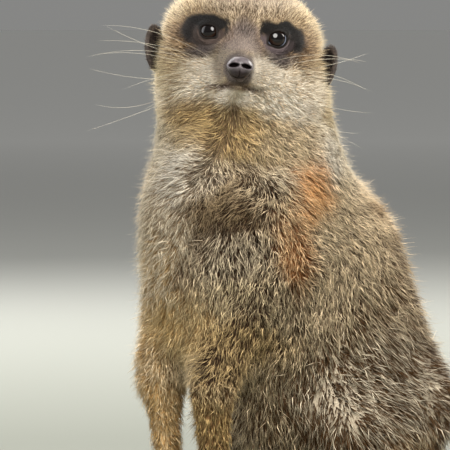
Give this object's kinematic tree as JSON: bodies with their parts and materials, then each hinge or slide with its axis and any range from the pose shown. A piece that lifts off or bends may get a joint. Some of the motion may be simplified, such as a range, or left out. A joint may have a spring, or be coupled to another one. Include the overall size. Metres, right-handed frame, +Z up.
{
  "type": "meerkat",
  "caption": "Life-size meerkat sitting on its rump with its forelegs planted, its head turned to its left and its tail laid round its right side.",
  "frame": {"origin": "on the floor, under the middle of the animal's bounding box, tail and claws included", "axes": "+Z up, -Y the way the body and forelegs face, +X the animal's left; the head is turned about 45 degrees to its left"},
  "size_m": [0.1288, 0.1948, 0.2178],
  "materials": {
    "coat": "soft grizzled fur, silver fawn with dark bands",
    "ear": "matt, short black hair",
    "eye": "wet, clear over dark brown",
    "nose": "moist, finely pebbled",
    "claw": "smooth horn, slightly worn"
  },
  "bodies": {
    "root": {"chest": "coat", "ear_left": "ear", "ear_right": "ear", "eye_left": "eye", "eye_right": "eye", "forearm_left": "coat", "forearm_right": "coat", "forefoot_claw_left_1": "claw", "forefoot_claw_left_2": "claw", "forefoot_claw_left_3": "claw", "forefoot_claw_left_4": "claw", "forefoot_claw_right_1": "claw", "forefoot_claw_right_2": "claw", "forefoot_claw_right_3": "claw", "forefoot_claw_right_4": "claw", "forefoot_left": "coat", "forefoot_right": "coat", "head": "coat", "hindfoot_claw_left_1": "claw", "hindfoot_claw_left_2": "claw", "hindfoot_claw_left_3": "claw", "hindfoot_claw_left_4": "claw", "hindfoot_claw_right_1": "claw", "hindfoot_claw_right_2": "claw", "hindfoot_claw_right_3": "claw", "hindfoot_claw_right_4": "claw", "hindfoot_left": "coat", "hindfoot_right": "coat", "neck": "coat", "nose": "nose", "rump": "coat", "shank_left": "coat", "shank_right": "coat", "tail_base": "coat", "tail_middle": "coat", "tail_tip": "coat", "thigh_left": "coat", "thigh_right": "coat", "upper_arm_left": "coat", "upper_arm_right": "coat"}
  },
  "joints": []
}
